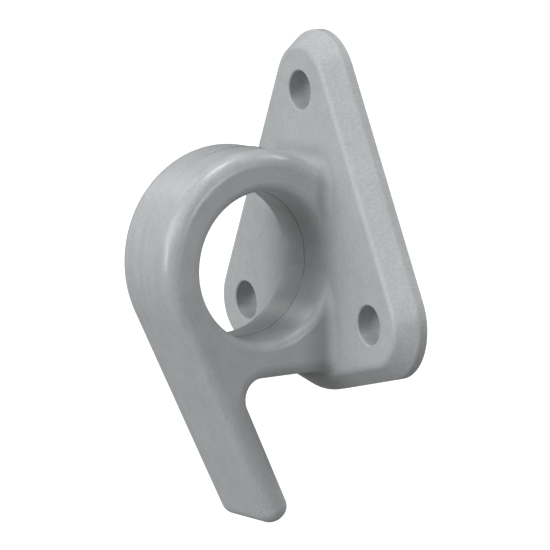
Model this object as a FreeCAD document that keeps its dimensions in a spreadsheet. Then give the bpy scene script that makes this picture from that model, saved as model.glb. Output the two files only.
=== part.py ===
import FreeCAD, Part
import Sketcher
import math
import os

# Rope hook
# One moulded piece: a rounded triangular back plate with three screw holes,
# a ring standing out from it with its bore across the hook, and a tail that
# runs down from the ring and leaves a throat open towards the floor.
# Millimetres. X runs across the plate, the hook stands out towards -Y and
# Z is up. The origin lies on the wall face, midway between the lower screws.

os.makedirs("parts", exist_ok=True)
doc = FreeCAD.newDocument("rope_hook")
sheet = doc.addObject("Spreadsheet::Sheet", "Dimensions")

SIZES = [
    ("screw_diameter", 5.3),
    ("screw_spacing", 30.4),
    ("screw_rise", 30.0),
    ("plate_thickness", 4.0),
    ("top_radius", 7.9),
    ("corner_radius", 7.5),
    ("corner_spacing", 31.3),
    ("lower_radius", 16.0),
    ("plate_drop", 10.7),
    ("face_inset", 2.0),
    ("band_depth", 1.2),
    ("eye_radius", 9.9),
    ("eye_sink", 0.08),
    ("eye_draft", 0.12),
    ("eye_height", 7.8),
    ("ring_radius", 15.0),
    ("ring_forward", 0.3),
    ("ring_lift", 0.5),
    ("hook_width", 12.8),
    ("root_sink", 0.4),
    ("tail_lean", 24.5),
    ("tail_taper", 1.4),
    ("tail_depth", 35.7),
    ("tail_tip_thickness", 4.2),
    ("tip_slant", 15.5),
    ("arm_depth", 7.2),
    ("throat_radius", 2.6),
    ("outer_round", 2.2),
    ("inner_round", 1.9),
    ("eye_round", 1.3),
    ("tip_round", 1.85),
    ("junction_round", 1.3),
    ("face_round", 1.1),
    ("band_round", 0.6),
    ("rim_chamfer", 0.15),
]
for row, (alias, value) in enumerate(SIZES, start=1):
    sheet.set("A%d" % row, alias.replace("_", " "))
    sheet.set("B%d" % row, repr(value))
    sheet.setAlias("B%d" % row, alias)
doc.recompute()
size = dict(SIZES)
EYE_REACH = "Dimensions.plate_thickness + Dimensions.eye_radius - Dimensions.eye_sink"

half_width = size["hook_width"] / 2
eye_y = -(size["plate_thickness"] + size["eye_radius"] - size["eye_sink"])
eye_z = size["eye_height"]
ring_y = eye_y - size["ring_forward"]
ring_z = eye_z + size["ring_lift"]
lean = math.radians(size["tail_lean"])

body = doc.addObject("PartDesign::Body", "rope_hook")
body.Label = "rope_hook"


def origin_plane(owner, role):
    for feature in owner.Origin.OriginFeatures:
        if feature.Role == role:
            return feature


def new_sketch(name, role, offset_expression=None, owner=body):
    sk = owner.newObject("Sketcher::SketchObject", name)
    sk.AttachmentSupport = (origin_plane(owner, role), [""])
    sk.MapMode = "FlatFace"
    if offset_expression:
        sk.setExpression("AttachmentOffset.Base.z", offset_expression)
    doc.recompute()
    return sk


def bind(sk, index, expression):
    sk.setExpression("Constraints[%d]" % index, expression)


def fix(sk, kind, *args):
    return sk.addConstraint(Sketcher.Constraint(kind, *args))


# Plate outline: four arcs about the screw positions joined by their tangents

def tangent_points(a, ra, b, rb):
    dx = b[0] - a[0]
    dz = b[1] - a[1]
    span = math.hypot(dx, dz)
    turn = math.atan2(dz, dx) - math.acos((ra - rb) / span)
    n = (math.cos(turn), math.sin(turn))
    p = (a[0] + ra * n[0], a[1] + ra * n[1])
    q = (b[0] + rb * n[0], b[1] + rb * n[1])
    return p, q


def plate_outline(name, offset_expression, inset_expression):
    sk = new_sketch(name, "XZ_Plane", offset_expression)
    inset = size["face_inset"] if inset_expression else 0.0
    half = size["corner_spacing"] / 2
    top = size["top_radius"] - inset
    corner = size["corner_radius"] - inset
    lower = size["lower_radius"] - inset
    low = size["lower_radius"] - size["plate_drop"]
    discs = [((0, size["screw_rise"]), top), ((-half, 0), corner), ((0, low), lower), ((half, 0), corner)]
    sides = [tangent_points(*discs[k], *discs[(k + 1) % 4]) for k in range(4)]
    for k in range(4):
        (cx, cz), r = discs[k]
        start = sides[k - 1][1]
        end = sides[k][0]
        a0 = math.atan2(start[1] - cz, start[0] - cx)
        a1 = math.atan2(end[1] - cz, end[0] - cx)
        circle = Part.Circle(FreeCAD.Vector(cx, cz, 0), FreeCAD.Vector(0, 0, 1), r)
        sk.addGeometry(Part.ArcOfCircle(circle, a0, a1), False)
    for k in range(4):
        p, q = sides[k]
        sk.addGeometry(Part.LineSegment(FreeCAD.Vector(p[0], p[1], 0),
                                        FreeCAD.Vector(q[0], q[1], 0)), False)
    for k in range(4):
        fix(sk, "Tangent", k, 2, 4 + k, 1)
        fix(sk, "Tangent", 4 + k, 2, (k + 1) % 4, 1)
    less = " - " + inset_expression if inset_expression else ""
    for k, radius in enumerate(("top_radius", "corner_radius", "lower_radius", "corner_radius")):
        bind(sk, fix(sk, "Radius", k, discs[k][1]), "Dimensions." + radius + less)
    fix(sk, "PointOnObject", 0, 3, -2)
    fix(sk, "PointOnObject", 1, 3, -1)
    fix(sk, "PointOnObject", 2, 3, -2)
    fix(sk, "PointOnObject", 3, 3, -1)
    bind(sk, fix(sk, "DistanceY", -1, 1, 0, 3, size["screw_rise"]), "Dimensions.screw_rise")
    bind(sk, fix(sk, "DistanceY", 2, 3, 0, 3, size["screw_rise"] - low),
         "Dimensions.screw_rise + Dimensions.plate_drop - Dimensions.lower_radius")
    bind(sk, fix(sk, "DistanceX", 1, 3, -1, 1, half), "Dimensions.corner_spacing / 2")
    bind(sk, fix(sk, "DistanceX", -1, 1, 3, 3, half), "Dimensions.corner_spacing / 2")
    return sk


# Hook outline in the middle plane: ring, tail, throat and arm

def hook_outline():
    sk = new_sketch("hook_outline", "YZ_Plane")
    root = -size["plate_thickness"] + size["root_sink"]
    cy = ring_y
    cz = ring_z
    big = size["ring_radius"]
    lean = math.radians(size["tail_lean"])
    inner = math.radians(size["tail_lean"] - size["tail_taper"])
    thick = size["tail_tip_thickness"]
    low = -size["arm_depth"]
    r = size["throat_radius"]
    out = (math.cos(lean), math.sin(lean))
    norm = (math.cos(inner), math.sin(inner))
    top = (root, cz + math.sqrt(big ** 2 - (root - cy) ** 2))
    leave = (cy - big * out[0], cz - big * out[1])
    end = lean + math.radians(size["tip_slant"])
    cut = thick / math.cos(end - lean)
    drop = (leave[1] - eye_z + size["tail_depth"]) / out[0]
    tip_out = (leave[0] + drop * out[1], leave[1] - drop * out[0])
    tip_in = (tip_out[0] + cut * math.cos(end), tip_out[1] + cut * math.sin(end))
    base = tip_in[0] * norm[0] + tip_in[1] * norm[1]
    throat = ((base + r - (low - r) * norm[1]) / norm[0], low - r)
    meet_in = (throat[0] - r * norm[0], throat[1] - r * norm[1])
    meet_arm = (throat[0], low)
    corner = (root, low)

    def vec(p):
        return FreeCAD.Vector(p[0], p[1], 0)

    def arc(centre, radius, start, end):
        circle = Part.Circle(vec(centre), FreeCAD.Vector(0, 0, 1), radius)
        sk.addGeometry(Part.ArcOfCircle(circle, start, end), False)

    def line(p, q):
        sk.addGeometry(Part.LineSegment(vec(p), vec(q)), False)

    arc((cy, cz), big, math.atan2(top[1] - cz, root - cy), math.pi + lean)
    line(leave, tip_out)
    line(tip_out, tip_in)
    line(tip_in, meet_in)
    arc(throat, r, math.pi / 2, math.pi + inner)
    line(meet_arm, corner)
    line(corner, top)
    fix(sk, "Tangent", 0, 2, 1, 1)
    fix(sk, "Coincident", 1, 2, 2, 1)
    fix(sk, "Coincident", 2, 2, 3, 1)
    fix(sk, "Tangent", 3, 2, 4, 2)
    fix(sk, "Tangent", 4, 1, 5, 1)
    fix(sk, "Coincident", 5, 2, 6, 1)
    fix(sk, "Coincident", 6, 2, 0, 1)
    fix(sk, "Horizontal", 5)
    fix(sk, "Vertical", 6)
    bind(sk, fix(sk, "Radius", 0, big), "Dimensions.ring_radius")
    bind(sk, fix(sk, "DistanceX", 0, 3, -1, 1, -cy), EYE_REACH + " + Dimensions.ring_forward")
    bind(sk, fix(sk, "DistanceY", -1, 1, 0, 3, cz), "Dimensions.eye_height + Dimensions.ring_lift")
    bind(sk, fix(sk, "Radius", 4, r), "Dimensions.throat_radius")
    bind(sk, fix(sk, "DistanceY", 5, 2, -1, 1, -low), "Dimensions.arm_depth")
    bind(sk, fix(sk, "DistanceX", 5, 2, -1, 1, -root), "Dimensions.plate_thickness - Dimensions.root_sink")
    bind(sk, fix(sk, "Distance", 2, cut),
         "Dimensions.tail_tip_thickness / cos(Dimensions.tip_slant * 1 deg)")
    bind(sk, fix(sk, "Angle", 2, end), "(Dimensions.tail_lean + Dimensions.tip_slant) * 1 deg")
    bind(sk, fix(sk, "Angle", 1, lean - math.pi / 2), "(Dimensions.tail_lean - 90) * 1 deg")
    bind(sk, fix(sk, "Angle", 3, inner + math.pi / 2),
         "(90 + Dimensions.tail_lean - Dimensions.tail_taper) * 1 deg")
    bind(sk, fix(sk, "DistanceY", 1, 2, 0, 3, cz - tip_out[1]),
         "Dimensions.tail_depth + Dimensions.ring_lift")
    return sk


# Finding edges by where they lie

def edges_where(shape, test):
    return ["Edge%d" % (k + 1) for k, edge in enumerate(shape.Edges) if test(edge)]


def middle(edge):
    u = (edge.FirstParameter + edge.LastParameter) / 2
    return edge.valueAt(u)


def near(a, b, gap=0.01):
    return abs(a - b) < gap


def dress(kind, size_name, name, base, names, alias):
    feature = body.newObject(kind, name)
    feature.Base = (base, names)
    feature.setExpression(size_name, "Dimensions." + alias)
    body.Tip = feature
    doc.recompute()
    report(feature)
    return feature


def add_fillet(name, base, names, alias):
    return dress("PartDesign::Fillet", "Radius", name, base, names, alias)


def add_chamfer(name, base, names, alias):
    return dress("PartDesign::Chamfer", "Size", name, base, names, alias)


def report(feature):
    shape = feature.Shape
    bad = "Invalid" in feature.State or "Error" in feature.State
    if bad or shape.isNull() or not shape.isValid():
        raise RuntimeError("feature is not sound: " + feature.Name)
    print("%-18s volume %.1f, faces %d" % (feature.Name, shape.Volume, len(shape.Faces)))


# The hook: a slab with its edges rounded

hook_sketch = hook_outline()
slab = body.newObject("PartDesign::Pad", "hook_slab")
slab.Profile = hook_sketch
slab.Midplane = True
slab.setExpression("Length", "Dimensions.hook_width")
body.Tip = slab
doc.recompute()
report(slab)


def on_side(edge):
    return near(abs(middle(edge).x), half_width) and near(edge.Vertexes[0].X, edge.Vertexes[-1].X)


def from_ring(point):
    return math.hypot(point.y - ring_y, point.z - ring_z)


def outer_edge(edge):
    return on_side(edge) and near(from_ring(middle(edge)), size["ring_radius"])


def throat_edge(edge):
    p = middle(edge)
    return on_side(edge) and edge.Curve.TypeId == "Part::GeomCircle" and from_ring(p) > size["ring_radius"]


outer = add_fillet("outer_rounding", slab, edges_where(slab.Shape, outer_edge), "outer_round")
inner = add_fillet("inner_rounding", outer, edges_where(outer.Shape, throat_edge), "inner_round")


def tip_edge(edge):
    end = lean + math.radians(size["tip_slant"])
    corner = size["ring_radius"], size["tail_depth"] + size["ring_lift"]
    slide = (corner[1] - corner[0] * math.sin(lean)) / math.cos(lean)
    y = ring_y - corner[0] * math.cos(lean) + slide * math.sin(lean)
    z = eye_z - size["tail_depth"]
    p = middle(edge)
    return near((z - p.z) * math.cos(end) - (y - p.y) * math.sin(end), 0, 0.02)


tip = add_fillet("tip_rounding", inner, edges_where(inner.Shape, tip_edge), "tip_round")

# The plate: a straight band at the wall, then walls sloping in to the face

band = body.newObject("PartDesign::Pad", "plate_band")
band.Profile = plate_outline("wall_outline", None, None)
band.setExpression("Length", "Dimensions.band_depth")
body.Tip = band
doc.recompute()
report(band)

slope = body.newObject("PartDesign::AdditiveLoft", "plate_slope")
slope.Profile = plate_outline("band_outline", "Dimensions.band_depth", None)
slope.Sections = [plate_outline("face_outline", "Dimensions.plate_thickness", "Dimensions.face_inset")]
slope.Ruled = True
body.Tip = slope
doc.recompute()
report(slope)

face_y = -size["plate_thickness"]


def in_plane(edge, y):
    return all(near(v.Y, y) for v in edge.Vertexes) and near(middle(edge).y, y)


def junction_edge(edge):
    p = middle(edge)
    inside = abs(p.x) < half_width + 0.01 and -size["arm_depth"] - 0.01 < p.z < ring_z + size["ring_radius"]
    return in_plane(edge, face_y) and inside


def outline_edge(edge):
    return in_plane(edge, face_y) and not junction_edge(edge)


def band_edge(edge):
    return in_plane(edge, -size["band_depth"])


face = add_fillet("face_rounding", slope, edges_where(slope.Shape, outline_edge), "face_round")
ridge = add_fillet("band_rounding", face, edges_where(face.Shape, band_edge), "band_round")

# The eye: a bore with a little draft to both sides and flared mouths

cutter = doc.addObject("PartDesign::Body", "eye_cutter")


def eye_outline():
    sk = new_sketch("eye_outline", "XY_Plane", "Dimensions.eye_height", cutter)
    sk.setExpression("AttachmentOffset.Base.y", "-(" + EYE_REACH + ")")
    wide = half_width
    past = half_width + 3
    r = size["eye_round"]
    mid = size["eye_radius"]
    rise = mid + size["eye_draft"] + r

    def vec(x, y):
        return FreeCAD.Vector(x, y, 0)

    def line(p, q):
        sk.addGeometry(Part.LineSegment(vec(*p), vec(*q)), False)

    def arc(x, start, end):
        circle = Part.Circle(vec(x, rise), FreeCAD.Vector(0, 0, 1), r)
        sk.addGeometry(Part.ArcOfCircle(circle, start, end), False)

    line((-past, 0), (-past, rise))
    line((-past, rise), (-wide, rise))
    arc(-wide + r, math.pi, math.pi * 1.5)
    line((-wide + r, rise - r), (0, mid))
    line((0, mid), (wide - r, rise - r))
    arc(wide - r, math.pi * 1.5, math.pi * 2)
    line((wide, rise), (past, rise))
    line((past, rise), (past, 0))
    line((past, 0), (-past, 0))
    for first, last, second, start in ((0, 2, 1, 1), (1, 2, 2, 1), (3, 2, 4, 1), (5, 2, 6, 1),
                                       (6, 2, 7, 1), (7, 2, 8, 1), (8, 2, 0, 1)):
        fix(sk, "Coincident", first, last, second, start)
    fix(sk, "Tangent", 2, 2, 3, 1)
    fix(sk, "Tangent", 4, 2, 5, 1)
    for k in (0, 7):
        fix(sk, "Vertical", k)
    for k in (1, 6):
        fix(sk, "Horizontal", k)
    fix(sk, "PointOnObject", 0, 1, -1)
    fix(sk, "PointOnObject", 7, 2, -1)
    fix(sk, "PointOnObject", 3, 2, -2)
    bind(sk, fix(sk, "DistanceY", -1, 1, 3, 2, mid), "Dimensions.eye_radius")
    for k in (2, 5):
        bind(sk, fix(sk, "Radius", k, r), "Dimensions.eye_round")
        bind(sk, fix(sk, "DistanceY", -1, 1, k, 3, rise),
             "Dimensions.eye_radius + Dimensions.eye_draft + Dimensions.eye_round")
    fix(sk, "Horizontal", 2, 1, 2, 3)
    fix(sk, "Horizontal", 5, 2, 5, 3)
    bind(sk, fix(sk, "DistanceX", 2, 1, -1, 1, wide), "Dimensions.hook_width / 2")
    bind(sk, fix(sk, "DistanceX", -1, 1, 5, 2, wide), "Dimensions.hook_width / 2")
    bind(sk, fix(sk, "DistanceX", 0, 1, -1, 1, past), "Dimensions.hook_width / 2 + 3")
    bind(sk, fix(sk, "DistanceX", -1, 1, 7, 2, past), "Dimensions.hook_width / 2 + 3")
    return sk


bore = cutter.newObject("PartDesign::Revolution", "eye_bore")
eye_sketch = eye_outline()
doc.recompute()
bore.Profile = eye_sketch
bore.ReferenceAxis = (eye_sketch, ["H_Axis"])
bore.Angle = 360
cutter.Tip = bore
doc.recompute()
report(bore)


def stop_outline():
    sk = new_sketch("eye_stop_outline", "XZ_Plane", "Dimensions.plate_thickness", cutter)
    x = half_width + 4
    z = size["eye_radius"] + 4
    corners = [(-x, eye_z - z), (x, eye_z - z), (x, eye_z + z), (-x, eye_z + z)]
    for p, q in zip(corners, corners[1:] + corners[:1]):
        sk.addGeometry(Part.LineSegment(FreeCAD.Vector(p[0], p[1], 0),
                                        FreeCAD.Vector(q[0], q[1], 0)), False)
    for k in range(4):
        fix(sk, "Coincident", k, 2, (k + 1) % 4, 1)
    for k in (0, 2):
        fix(sk, "Horizontal", k)
        fix(sk, "Vertical", k + 1)
    bind(sk, fix(sk, "DistanceX", 0, 1, -1, 1, x), "Dimensions.hook_width / 2 + 4")
    bind(sk, fix(sk, "DistanceX", -1, 1, 0, 2, x), "Dimensions.hook_width / 2 + 4")
    bind(sk, fix(sk, "DistanceY", 0, 2, 1, 2, 2 * z), "2 * Dimensions.eye_radius + 8")
    bind(sk, fix(sk, "DistanceY", -1, 1, 1, 2, eye_z + z),
         "Dimensions.eye_height + Dimensions.eye_radius + 4")
    return sk


stop = cutter.newObject("PartDesign::Pocket", "eye_stop")
stop.Profile = stop_outline()
stop.setExpression("Length", "Dimensions.eye_radius")
cutter.Tip = stop
doc.recompute()
if stop.Shape.Volume > bore.Shape.Volume - 1:
    raise RuntimeError("the eye cutter was not trimmed at the plate face")
report(stop)

eye = body.newObject("PartDesign::Boolean", "eye")
eye.Type = "Cut"
eye.setObjects([cutter])
body.Tip = eye
doc.recompute()
report(eye)

# The root is rounded after the eye is cut, so that the rounding runs on round its mouths

junction = add_fillet("junction_rounding", eye, edges_where(eye.Shape, junction_edge), "junction_round")

# Screw holes through the plate with softly broken rims


def screw_outline():
    sk = new_sketch("screw_outline", "XZ_Plane")
    half = size["screw_spacing"] / 2
    r = size["screw_diameter"] / 2
    for x, z in ((0, size["screw_rise"]), (-half, 0), (half, 0)):
        sk.addGeometry(Part.Circle(FreeCAD.Vector(x, z, 0), FreeCAD.Vector(0, 0, 1), r), False)
    for k in range(3):
        bind(sk, fix(sk, "Diameter", k, 2 * r), "Dimensions.screw_diameter")
    fix(sk, "PointOnObject", 0, 3, -2)
    fix(sk, "PointOnObject", 1, 3, -1)
    fix(sk, "PointOnObject", 2, 3, -1)
    bind(sk, fix(sk, "DistanceY", -1, 1, 0, 3, size["screw_rise"]), "Dimensions.screw_rise")
    bind(sk, fix(sk, "DistanceX", 1, 3, -1, 1, half), "Dimensions.screw_spacing / 2")
    bind(sk, fix(sk, "DistanceX", -1, 1, 2, 3, half), "Dimensions.screw_spacing / 2")
    return sk


holes = body.newObject("PartDesign::Pocket", "screw_holes")
holes.Profile = screw_outline()
holes.Type = "ThroughAll"
holes.Midplane = True
body.Tip = holes
doc.recompute()
if holes.Shape.Volume > junction.Shape.Volume - 1:
    raise RuntimeError("the screw holes cut nothing")
report(holes)


def rim_edge(edge):
    if edge.Curve.TypeId != "Part::GeomCircle":
        return False
    return near(edge.Curve.Radius, size["screw_diameter"] / 2) and in_plane(edge, face_y)


rims = add_chamfer("rim_breaking", holes, edges_where(holes.Shape, rim_edge), "rim_chamfer")

for feature in doc.Objects:
    if "Invalid" in feature.State or "Error" in feature.State:
        raise RuntimeError("not sound: " + feature.Name)
shape = body.Shape
box = shape.BoundBox
print("solids", len(shape.Solids), "volume", round(shape.Volume, 2), "area", round(shape.Area, 2))
spans = (box.XMin, box.XMax, box.YMin, box.YMax, box.ZMin, box.ZMax)
print("x %.2f %.2f  y %.2f %.2f  z %.2f %.2f" % spans)
shape.exportStep("parts/rope_hook.step")
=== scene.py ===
# %% [markdown]
# # A moulded rope hook
# This lesson dresses one small piece of deck hardware: a grey plastic hook that
# screws to a wall, with a ring for a line and a tail to hang coils on.
# The solid comes from the CAD frame, in metres, with +Z up and the wall at Y = 0.
# What is left to do here is what makes it look like a real moulding: the
# plastic itself, the fine line that the mould leaves, the light and the camera.

# %% Load the frame
import bpy
import math
from mathutils import Matrix, Vector


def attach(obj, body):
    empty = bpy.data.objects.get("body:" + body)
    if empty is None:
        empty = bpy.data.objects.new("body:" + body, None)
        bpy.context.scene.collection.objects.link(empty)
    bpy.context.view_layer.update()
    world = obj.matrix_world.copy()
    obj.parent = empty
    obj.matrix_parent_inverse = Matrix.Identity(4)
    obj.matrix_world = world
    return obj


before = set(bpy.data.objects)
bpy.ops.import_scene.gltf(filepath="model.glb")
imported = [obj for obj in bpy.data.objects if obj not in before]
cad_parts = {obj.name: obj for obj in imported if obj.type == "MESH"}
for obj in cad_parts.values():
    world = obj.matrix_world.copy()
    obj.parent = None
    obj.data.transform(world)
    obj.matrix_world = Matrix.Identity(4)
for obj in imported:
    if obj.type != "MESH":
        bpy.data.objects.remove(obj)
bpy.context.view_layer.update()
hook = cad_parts["rope_hook"]

# %% [markdown]
# ## Sizes that the finish follows
# The line that the mould leaves follows the hook's own form, so the few sizes
# that place it are written once here: where the ring and its eye lie and where
# the plate's face is. They could be measured on the mesh, but the values that
# the solid is built from are exact and easier to read.

# %% Sizes in metres
MM = 0.001
PLATE_FACE = -4.0 * MM
EYE_Y = -13.82 * MM
EYE_Z = 7.8 * MM
EYE_RADIUS = 9.9 * MM
RING_Y = EYE_Y - 0.3 * MM
RING_Z = EYE_Z + 0.5 * MM
RING_RADIUS = 15.0 * MM
flat_half = math.sqrt(EYE_RADIUS ** 2 - (PLATE_FACE - EYE_Y) ** 2)
print("eye centre in mm:", round(EYE_Y / MM, 2), round(EYE_Z / MM, 2))
print("flat strip inside the eye in mm:", round(2 * flat_half / MM, 2), "tall")

# %% [markdown]
# ## Nodes for the finishes
# Each finish is a small tree of shader nodes. The same few kinds come back in
# every tree, so a helper adds each kind, sets it and links what it reads. The
# trees could be drawn by hand in the shader editor just as well, and the places
# given here keep them readable there.


# %% Helpers for nodes
def add_node(tree, kind, place, inputs=None, **settings):
    node = tree.nodes.new(kind)
    node.location = place
    for name, value in settings.items():
        setattr(node, name, value)
    for key, value in (inputs or {}).items():
        node.inputs[key].default_value = value
    return node


def remap(tree, place, source, low, high, to_low, to_high):
    limits = {"From Min": low, "From Max": high, "To Min": to_low, "To Max": to_high}
    node = add_node(tree, "ShaderNodeMapRange", place, limits)
    tree.links.new(source, node.inputs["Value"])
    return node.outputs["Result"]


def combine(tree, place, operation, first, second):
    node = add_node(tree, "ShaderNodeMath", place, operation=operation)
    for socket, value in zip(node.inputs, (first, second)):
        if isinstance(value, float):
            socket.default_value = value
        else:
            tree.links.new(value, socket)
    return node.outputs["Value"]


def noise(tree, place, coordinates, scale, detail, roughness):
    settings = {"Scale": scale, "Detail": detail, "Roughness": roughness}
    node = add_node(tree, "ShaderNodeTexNoise", place, settings)
    tree.links.new(coordinates, node.inputs["Vector"])
    return node.outputs["Fac"]


def new_tree(material):
    material.use_nodes = True
    material.node_tree.nodes.clear()
    return material.node_tree


print("helpers for nodes:", [helper.__name__ for helper in (add_node, remap, combine, noise, new_tree)])

# %% [markdown]
# ## The plastic
# The real part is a satin grey plastic, and it isn't the same all over. The ring
# and the tail are smooth and a little glossy, with long soft streaks that show
# how the melt flowed round them. The plate is duller: its sloping walls keep the
# speckled grain of the mould's steel, and its face has a finer one.
# A painted picture could show this too, but it would need the solid unwrapped
# and would blur close up. So all of it is noise on Object coordinates, which
# stays on the part, and the distance from the wall tells the ring from the plate.

# %% Where each finish lies, and its scales
HOOK_STARTS = PLATE_FACE - 0.3 * MM
HOOK_FULL = PLATE_FACE - 1.6 * MM
SLOPE_STARTS = PLATE_FACE + 0.1 * MM
SLOPE_FULL = PLATE_FACE + 0.5 * MM
CLOUD_SCALE = 420.0
GRAIN_SCALE = 3600.0
SPECKLE_SCALE = 2300.0
STREAK_SCALE = 1700.0
STREAK_STRETCH = 0.07
PLATE_ROUGHNESS = 0.5
HOOK_ROUGHNESS = 0.31
BUMP_DEPTH = 0.015 * MM
print("one grain in mm:", round(1 / GRAIN_SCALE / MM, 2), "one cloud in mm:", round(1 / CLOUD_SCALE / MM, 2))


# %% The moulded plastic
def moulded_plastic(name, grey, depth):
    material = bpy.data.materials.new(name)
    tree = new_tree(material)
    link = tree.links.new
    output = add_node(tree, "ShaderNodeOutputMaterial", (1100, 0))
    shader = add_node(tree, "ShaderNodeBsdfPrincipled", (800, 0), {"IOR": 1.52})
    link(shader.outputs["BSDF"], output.inputs["Surface"])

    on_part = add_node(tree, "ShaderNodeTexCoord", (-1300, 0)).outputs["Object"]
    axes = add_node(tree, "ShaderNodeSeparateXYZ", (-1100, 400))
    link(on_part, axes.inputs["Vector"])
    depth_in = axes.outputs["Y"]
    on_hook = remap(tree, (-900, 500), depth_in, HOOK_STARTS, HOOK_FULL, 0.0, 1.0)
    on_slope = remap(tree, (-900, 250), depth_in, SLOPE_STARTS, SLOPE_FULL, 0.0, 1.0)

    # Four sizes of noise: broad clouds, the fine grain, the slopes' speckle, and streaks along the hook
    clouds = noise(tree, (-800, 0), on_part, CLOUD_SCALE, 3.0, 0.5)
    grain = noise(tree, (-800, -200), on_part, GRAIN_SCALE, 2.0, 0.6)
    speckle = noise(tree, (-800, -400), on_part, SPECKLE_SCALE, 2.0, 0.5)
    stretch = {"Scale": (1.0, STREAK_STRETCH, STREAK_STRETCH)}
    along = add_node(tree, "ShaderNodeMapping", (-1100, -600), stretch)
    link(on_part, along.inputs["Vector"])
    streaks = noise(tree, (-800, -600), along.outputs["Vector"], STREAK_SCALE, 2.0, 0.5)

    # Each is centred on nought, given its share, and added up to one tone
    speckled = remap(tree, (-650, -400), speckle, 0.3, 0.7, -0.5, 0.5)
    slope_part = combine(tree, (-500, -400), "MULTIPLY", speckled, on_slope)
    streaked = remap(tree, (-650, -600), streaks, 0.3, 0.7, -0.45, 0.45)
    hook_part = combine(tree, (-500, -600), "MULTIPLY", streaked, on_hook)
    fine_part = remap(tree, (-500, -200), grain, 0.3, 0.7, -0.9, 0.9)
    broad_part = remap(tree, (-500, 0), clouds, 0.3, 0.7, -0.35, 0.35)
    tone = combine(tree, (-300, -500), "ADD", slope_part, hook_part)
    tone = combine(tree, (-100, -300), "ADD", tone, fine_part)
    tone = combine(tree, (100, -200), "ADD", tone, broad_part)
    shift = remap(tree, (300, -100), tone, -1.0, 1.0, 1.0 - depth, 1.0 + depth)
    colour = add_node(tree, "ShaderNodeVectorMath", (550, 100), {0: grey}, operation="SCALE")
    link(shift, colour.inputs["Scale"])
    link(colour.outputs["Vector"], shader.inputs["Base Color"])

    satin = remap(tree, (100, 400), on_hook, 0.0, 1.0, PLATE_ROUGHNESS, HOOK_ROUGHNESS)
    uneven = remap(tree, (100, 200), clouds, 0.3, 0.7, -0.03, 0.03)
    link(combine(tree, (400, 300), "ADD", satin, uneven), shader.inputs["Roughness"])

    height = combine(tree, (100, -600), "ADD", fine_part, slope_part)
    bump = add_node(tree, "ShaderNodeBump", (550, -400), {"Strength": 0.25, "Distance": BUMP_DEPTH})
    link(height, bump.inputs["Height"])
    link(bump.outputs["Normal"], shader.inputs["Normal"])
    return material


plastic = moulded_plastic("satin_grey_plastic", (0.42, 0.437, 0.444), 0.1)
for slot in hook.material_slots:
    slot.material = plastic
print("material slots:", [slot.material.name for slot in hook.material_slots])

# %% [markdown]
# ## The line that the mould leaves
# Two halves of the mould meet in the middle plane of the hook. Where they met,
# the part keeps a fine raised line. Its dark colour is painted shade, the shade of
# the fine crease along it. It runs round the bore, over the flat strip at the
# plate, and over the ring's top.
# It could be part of the solid, but it stands out by less than a tenth of a
# millimetre, so thin pieces laid on the surface do it better. Round the bore it
# is a very thin torus on the bore's own circle. Over the ring it is a torus set
# a tenth of a millimetre back, so that it sinks into the ring's front and fades
# out there, as the real line does. A bisect takes off the part not wanted.

# %% Sizes of the line
LINE_RADIUS = 0.06 * MM
TOP_LINE_SET_BACK = 0.1 * MM
TOP_LINE_LOWEST = RING_Z + 0.75 * RING_RADIUS
print("the line stands out by", LINE_RADIUS / MM, "mm")


# %% Helpers for pieces
def settle(name):
    piece = bpy.context.object
    piece.name = name
    bpy.ops.object.transform_apply(location=True, rotation=True, scale=True)
    return piece


def select_only(piece):
    bpy.ops.object.select_all(action="DESELECT")
    bpy.context.view_layer.objects.active = piece
    piece.select_set(True)


# %% Ring-shaped line
def line_round(name, centre_y, centre_z, radius):
    bpy.ops.object.select_all(action="DESELECT")
    bpy.ops.mesh.primitive_torus_add(
        major_radius=radius, minor_radius=LINE_RADIUS, major_segments=180, minor_segments=8,
        location=(0.0, centre_y, centre_z), rotation=(0.0, math.pi / 2, 0.0))
    return settle(name)


def keep_side(line, point, away):
    select_only(line)
    bpy.ops.object.mode_set(mode="EDIT")
    bpy.ops.mesh.select_all(action="SELECT")
    bpy.ops.mesh.bisect(plane_co=point, plane_no=away, use_fill=True, clear_outer=True)
    bpy.ops.object.mode_set(mode="OBJECT")


eye_line = line_round("eye_line", EYE_Y, EYE_Z, EYE_RADIUS)
keep_side(eye_line, (0.0, PLATE_FACE, 0.0), (0.0, 1.0, 0.0))
top_line = line_round("ring_top_line", RING_Y + TOP_LINE_SET_BACK, RING_Z, RING_RADIUS)
keep_side(top_line, (0.0, 0.0, TOP_LINE_LOWEST), (0.0, 0.0, -1.0))
print("faces in the lines:", len(eye_line.data.polygons), len(top_line.data.polygons))

# %% [markdown]
# The bore's round wall stops where it meets the plate, and there the plate's flat
# face closes the eye. The line runs straight up over it, so a thin upright
# cylinder, sunk by half into the face, joins the ends of the line round the bore.

# %% Straight line over the flat strip
bpy.ops.object.select_all(action="DESELECT")
bpy.ops.mesh.primitive_cylinder_add(
    vertices=8, radius=LINE_RADIUS, depth=2 * flat_half, location=(0.0, PLATE_FACE, EYE_Z))
strip_line = settle("strip_line")
print("strip line in mm:", [round(v / MM, 2) for v in strip_line.dimensions])

# %% [markdown]
# The line is the same plastic, with painted shade in its colour for the dark of
# the fine crease. The same tree makes it with a darker grey and a deeper change of
# tone, so that the painted shade comes and goes along its length. A flat dark
# colour would look like a drawn stroke.

# %% Finish of the lines
# Painted shade: the darker grey stands in for the shade along the fine crease.
painted_shade_line = moulded_plastic("painted_shade_line_plastic", (0.24, 0.25, 0.254), 0.35)
for line in (eye_line, top_line, strip_line):
    select_only(line)
    bpy.ops.object.shade_smooth()
    line.data.materials.append(painted_shade_line)
    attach(line, "root")
print("lines:", [line.name for line in (eye_line, top_line, strip_line)])

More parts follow.
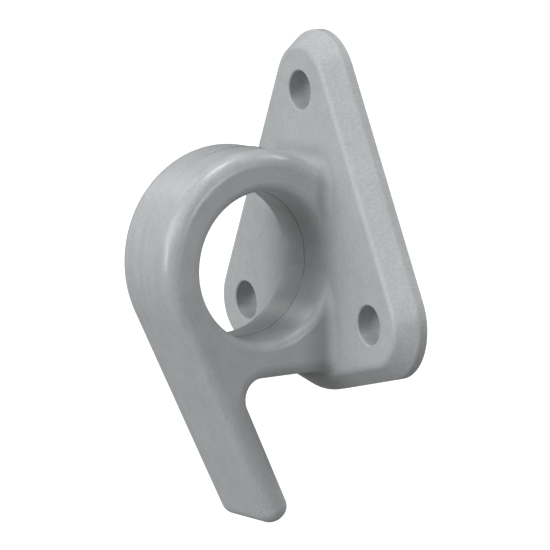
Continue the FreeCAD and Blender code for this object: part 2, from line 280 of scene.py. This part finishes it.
# %% [markdown]
# ## The floor
# The hook is shown by itself on plain white, with white paper well below it. A
# curved backdrop could do the same, but a flat sheet is enough where the room
# behind it is white as well. The camera sees the paper pale, and a faint glow for
# the camera alone lifts the lit paper to pure white, while the hook's shadow
# stays on it. To all other rays the paper is darker, so that it throws less light
# up on the hook.

# %% Sizes and tones of the floor
FLOOR_HEIGHT = -120.0 * MM
FLOOR_SIZE = 4.0
PAPER_TO_CAMERA = 0.86
PAPER_TO_OTHER_RAYS = 0.24
PAPER_GLOW = 0.3
print("floor in m:", FLOOR_SIZE, "square, at", FLOOR_HEIGHT)


# %% Floor
def white_paper(name):
    material = bpy.data.materials.new(name)
    tree = new_tree(material)
    link = tree.links.new
    output = add_node(tree, "ShaderNodeOutputMaterial", (600, 0))
    paper = add_node(tree, "ShaderNodeBsdfDiffuse", (0, 100))
    path = add_node(tree, "ShaderNodeLightPath", (-500, 0))
    to_camera = path.outputs["Is Camera Ray"]
    glow = add_node(tree, "ShaderNodeEmission", (0, -100))
    tone = remap(tree, (-250, 100), to_camera, 0.0, 1.0, PAPER_TO_OTHER_RAYS, PAPER_TO_CAMERA)
    link(tone, paper.inputs["Color"])
    faint = combine(tree, (-250, -150), "MULTIPLY", to_camera, PAPER_GLOW)
    link(faint, glow.inputs["Strength"])
    both = add_node(tree, "ShaderNodeAddShader", (300, 0))
    link(paper.outputs["BSDF"], both.inputs[0])
    link(glow.outputs["Emission"], both.inputs[1])
    link(both.outputs["Shader"], output.inputs["Surface"])
    return material


bpy.ops.object.select_all(action="DESELECT")
bpy.ops.mesh.primitive_plane_add(size=FLOOR_SIZE, location=(0.0, 0.0, FLOOR_HEIGHT))
floor = settle("floor")
floor.data.materials.append(white_paper("white_paper"))
print("floor height in mm:", round(floor.data.vertices[0].co.z / MM, 1))

# %% [markdown]
# ## The room
# The world is white to the camera, and gives the hook only a weak even light.
# With one strength for both, a white room would light the hook flat from all
# sides and wash its shading out.

# %% World
ROOM_LIGHT = 0.15
WHITE = (1.0, 1.0, 1.0, 1.0)
world = bpy.data.worlds.new("studio")
bpy.context.scene.world = world
tree = new_tree(world)
world_out = add_node(tree, "ShaderNodeOutputWorld", (600, 0))
room = add_node(tree, "ShaderNodeBackground", (0, 100), {"Color": WHITE, "Strength": ROOM_LIGHT})
white = add_node(tree, "ShaderNodeBackground", (0, -100), {"Color": WHITE, "Strength": 1.0})
path = add_node(tree, "ShaderNodeLightPath", (0, 400))
choose = add_node(tree, "ShaderNodeMixShader", (300, 0))
tree.links.new(path.outputs["Is Camera Ray"], choose.inputs["Fac"])
tree.links.new(room.outputs["Background"], choose.inputs[1])
tree.links.new(white.outputs["Background"], choose.inputs[2])
tree.links.new(choose.outputs["Shader"], world_out.inputs["Surface"])
print("room strength:", room.inputs["Strength"].default_value)

# %% [markdown]
# ## Light
# The photograph was lit by large soft lamps all round. Area lamps could do it,
# but they fade with distance and would have to be placed as well as aimed. A sun
# with a wide disc is as soft, and lights the hook and the paper alike.
# Azimuth is counted from the front, towards the right-hand side as one looks at
# the wall, and elevation from the level. All angles are in degrees.
# The three front lamps give the plate and the ring their even tone, and the far
# left one keeps the turned-away side from going dark. The lamp at the camera's
# side draws the bright crest along the ring's edge, and the high one on the
# right lights the tops of the roundings. The lamps on the right and behind open
# the side of the ring and the bore, and the one overhead lights the ring's top.


# %% Lamps
def soft_lamp(name, azimuth, elevation, spread, strength):
    around = math.radians(azimuth)
    above = math.radians(elevation)
    level = math.cos(above)
    towards = Vector((math.sin(around) * level, -math.cos(around) * level, math.sin(above)))
    data = bpy.data.lights.new(name, "SUN")
    data.angle = math.radians(spread)
    data.energy = strength
    lamp = bpy.data.objects.new(name, data)
    bpy.context.scene.collection.objects.link(lamp)
    lamp.rotation_mode = "QUATERNION"
    lamp.rotation_quaternion = towards.to_track_quat("Z", "Y")
    return lamp


soft_lamp("front_low", azimuth=0.0, elevation=5.0, spread=20.0, strength=1.00)
soft_lamp("front_left", azimuth=-15.0, elevation=25.0, spread=30.0, strength=0.69)
soft_lamp("front_right", azimuth=15.0, elevation=30.0, spread=30.0, strength=0.66)
soft_lamp("far_left", azimuth=-75.0, elevation=40.0, spread=20.0, strength=0.23)
soft_lamp("camera_side", azimuth=52.0, elevation=25.0, spread=12.0, strength=0.20)
soft_lamp("high_right", azimuth=60.0, elevation=58.0, spread=30.0, strength=0.25)
soft_lamp("right_side", azimuth=105.0, elevation=10.0, spread=14.0, strength=0.53)
soft_lamp("behind", azimuth=165.0, elevation=40.0, spread=16.0, strength=0.81)
soft_lamp("overhead", azimuth=0.0, elevation=88.0, spread=20.0, strength=1.20)

# %% [markdown]
# ## Camera
# The photograph was taken from the hook's right front, a little above it, with a
# long lens. The camera could be aimed by eye, but its place was worked out from
# the plate's edges and screw holes, so that the render lies over the photograph.
# It looks along a line given by two angles, turns by a small roll, and stands at
# a distance along that line, with a small step to the side and up.

# %% Camera's angles and place
CAMERA_AZIMUTH = math.radians(57.855)
CAMERA_ELEVATION = math.radians(8.288)
CAMERA_ROLL = math.radians(-1.768)
CAMERA_DISTANCE = 683.057 * MM
CAMERA_SIDE_STEP = -7.522 * MM
CAMERA_UP_STEP = 4.622 * MM
LENS = 332.425
SENSOR = 36.0
print("field of view in degrees:", round(math.degrees(2 * math.atan(SENSOR / 2 / LENS)), 2))

# %% Camera
level_back = Vector((math.sin(CAMERA_AZIMUTH), -math.cos(CAMERA_AZIMUTH), 0.0))
back = level_back * math.cos(CAMERA_ELEVATION) + Vector((0.0, 0.0, math.sin(CAMERA_ELEVATION)))
level_right = Vector((math.cos(CAMERA_AZIMUTH), math.sin(CAMERA_AZIMUTH), 0.0))
level_up = back.cross(level_right)
right = level_right * math.cos(CAMERA_ROLL) + level_up * math.sin(CAMERA_ROLL)
up = level_up * math.cos(CAMERA_ROLL) - level_right * math.sin(CAMERA_ROLL)
camera_data = bpy.data.cameras.new("camera")
camera_data.sensor_width = SENSOR
camera_data.lens = LENS
camera_data.clip_start = 0.05
camera_data.clip_end = 20.0
camera = bpy.data.objects.new("camera", camera_data)
bpy.context.scene.collection.objects.link(camera)
place = back * CAMERA_DISTANCE + right * CAMERA_SIDE_STEP + up * CAMERA_UP_STEP
camera.matrix_world = Matrix.Translation(place) @ Matrix((right, up, back)).transposed().to_4x4()
bpy.context.scene.camera = camera
bpy.context.scene.view_settings.view_transform = "Standard"
print("camera at", [round(v, 4) for v in place])

# %% [markdown]
# ## Last step
# The finish must not change the part's size. Here the view layer is only brought
# up to date.

# %% Finish
bpy.context.view_layer.update()
